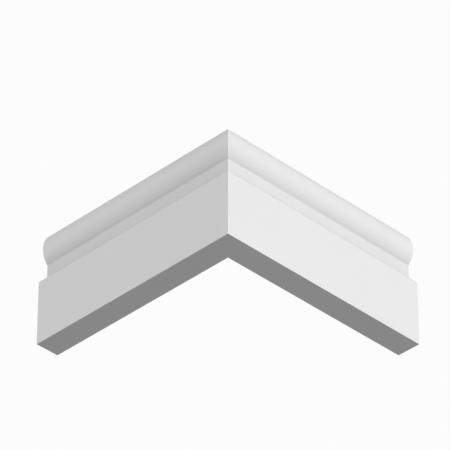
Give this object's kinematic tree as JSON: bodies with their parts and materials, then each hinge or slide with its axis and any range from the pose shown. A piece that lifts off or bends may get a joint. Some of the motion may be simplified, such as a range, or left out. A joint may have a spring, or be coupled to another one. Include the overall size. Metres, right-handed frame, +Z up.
{
  "type": "skirting board",
  "caption": "Moulded skirting board mitred round an outside wall corner, with a tall plain plinth, a recessed band and a rounded bead along the top.",
  "frame": {"origin": "foot of the wall's outside corner, where the backs of the two boards meet at floor level", "axes": "+X along the right board away from the corner, +Y along the left board away from the corner, +Z up"},
  "size_m": [0.19, 0.19, 0.1],
  "materials": {
    "primed_white": "matte"
  },
  "bodies": {
    "root": {"right_board": "primed_white", "left_board": "primed_white"}
  },
  "joints": []
}
